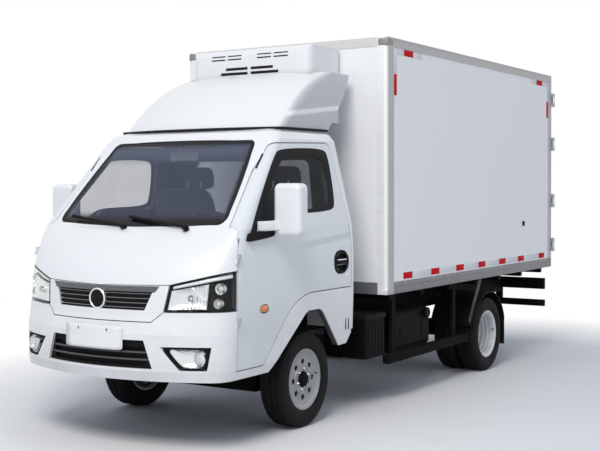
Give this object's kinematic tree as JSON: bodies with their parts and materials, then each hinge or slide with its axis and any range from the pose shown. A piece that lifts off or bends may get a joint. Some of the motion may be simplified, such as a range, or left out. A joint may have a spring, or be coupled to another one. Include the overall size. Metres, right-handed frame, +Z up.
{
  "type": "refrigerated truck",
  "caption": "Light two-seat cab truck with an insulated box body, nose-mounted cooling unit, roof air fairing, twin rear wheels, hinged cab doors and swinging rear box doors.",
  "frame": {"origin": "centre of the footprint on the ground, midway between the bumper's nose and the rear door gear", "axes": "+Z up, the cab faces -Y, +X is the vehicle's left side"},
  "size_m": [2.01, 5.6198, 2.6099],
  "materials": {
    "cab_white": "gloss",
    "box_white": "satin",
    "alloy": "satin",
    "stainless": "brushed",
    "chassis_black": "satin",
    "engine_grey": "rough",
    "black_plastic": "grained",
    "dash_grey": "grained",
    "seat_cloth": "woven",
    "tinted_glass": "polished",
    "lamp_clear": "polished",
    "lamp_red": "polished",
    "rim_silver": "satin",
    "tyre_black": "matte"
  },
  "bodies": {
    "chassis": {"chassis_frame": "chassis_black", "box_bearers": "chassis_black", "front_axle": "chassis_black", "engine": "engine_grey", "exhaust": "engine_grey", "rear_axle": "chassis_black", "leaf_springs": "chassis_black", "fuel_tank": "chassis_black", "battery_box": "chassis_black", "side_guards": "chassis_black", "rear_mudguards": "black_plastic", "rear_bar": "chassis_black", "tail_lamps": "lamp_red", "box_floor": "box_white", "box_front_wall": "box_white", "box_left_wall": "box_white", "box_right_wall": "box_white", "box_roof": "box_white", "box_trim": "alloy", "box_rear_frame": "stainless", "cooling_unit": "cab_white", "evaporator": "box_white", "cab_floor": "dash_grey", "cab_front": "cab_white", "cab_roof": "cab_white", "cab_rear_wall": "cab_white", "side_panels": "cab_white", "cab_glass": "tinted_glass", "bumper": "cab_white", "grille_panel": "cab_white", "grilles": "black_plastic", "front_lamps": "lamp_clear", "wipers": "black_plastic", "dashboard": "dash_grey", "seats": "seat_cloth", "roof_fairing": "cab_white"},
    "knuckle_left": {"knuckle_left": "chassis_black"},
    "knuckle_right": {"knuckle_right": "chassis_black"},
    "track_rod": {"track_rod": "chassis_black"},
    "steering_wheel": {"steering_wheel": "black_plastic"},
    "front_left_wheel": {"front_left_rim": "rim_silver", "front_left_tyre": "tyre_black"},
    "front_right_wheel": {"front_right_rim": "rim_silver", "front_right_tyre": "tyre_black"},
    "rear_left_wheels": {"rear_left_rims": "rim_silver", "rear_left_tyres": "tyre_black"},
    "rear_right_wheels": {"rear_right_rims": "rim_silver", "rear_right_tyres": "tyre_black"},
    "cab_door_left": {"cab_door_left": "cab_white", "door_glass_left": "tinted_glass", "mirror_left": "cab_white"},
    "cab_door_right": {"cab_door_right": "cab_white", "door_glass_right": "tinted_glass", "mirror_right": "cab_white"},
    "box_door_left": {"box_door_left": "box_white", "door_gear_left": "stainless"},
    "box_door_right": {"box_door_right": "box_white", "door_gear_right": "stainless"}
  },
  "joints": [
    {"name": "steer_left", "type": "hinge", "parent": "chassis", "child": "knuckle_left", "pos_m": [0.62, -1.57, 0.309], "axis": [0, 0, 1], "range_deg": [-35, 35]},
    {"name": "steer_right", "type": "hinge", "parent": "chassis", "child": "knuckle_right", "pos_m": [-0.62, -1.57, 0.309], "axis": [0, 0, 1], "range_deg": [-35, 35]},
    {"name": "track_rod_slide", "type": "slide", "parent": "chassis", "child": "track_rod", "axis": [-1, 0, 0], "range_m": [-0.049, 0.049]},
    {"name": "steering_wheel_turn", "type": "hinge", "parent": "chassis", "child": "steering_wheel", "pos_m": [0.365, -2.00611, 1.29659], "axis": [0, 0.4695, 0.8829], "range_deg": [-495, 495]},
    {"name": "front_left_spin", "type": "hinge", "parent": "knuckle_left", "child": "front_left_wheel", "pos_m": [0.65, -1.57, 0.309], "axis": [1, 0, 0], "continuous": true},
    {"name": "front_right_spin", "type": "hinge", "parent": "knuckle_right", "child": "front_right_wheel", "pos_m": [-0.65, -1.57, 0.309], "axis": [1, 0, 0], "continuous": true},
    {"name": "rear_left_spin", "type": "hinge", "parent": "chassis", "child": "rear_left_wheels", "pos_m": [0.6695, 1.23, 0.309], "axis": [1, 0, 0], "continuous": true},
    {"name": "rear_right_spin", "type": "hinge", "parent": "chassis", "child": "rear_right_wheels", "pos_m": [-0.6695, 1.23, 0.309], "axis": [1, 0, 0], "continuous": true},
    {"name": "cab_door_left_hinge", "type": "hinge", "parent": "chassis", "child": "cab_door_left", "pos_m": [0.802, -2.441, 1], "axis": [0, 0, -1], "range_deg": [0, 65]},
    {"name": "cab_door_right_hinge", "type": "hinge", "parent": "chassis", "child": "cab_door_right", "pos_m": [-0.802, -2.441, 1], "axis": [0, 0, 1], "range_deg": [0, 65]},
    {"name": "box_door_left_hinge", "type": "hinge", "parent": "chassis", "child": "box_door_left", "pos_m": [0.882, 2.792, 1.69], "axis": [0, 0, -1], "range_deg": [0, 255]},
    {"name": "box_door_right_hinge", "type": "hinge", "parent": "chassis", "child": "box_door_right", "pos_m": [-0.882, 2.792, 1.69], "axis": [0, 0, 1], "range_deg": [0, 255]}
  ],
  "couplings": [
    {"joint": "steer_right", "follows": "steer_left", "ratio": 1},
    {"joint": "track_rod_slide", "follows": "steer_left", "m_per_rad": 0.08},
    {"joint": "steering_wheel_turn", "follows": "steer_left", "ratio": 14}
  ]
}
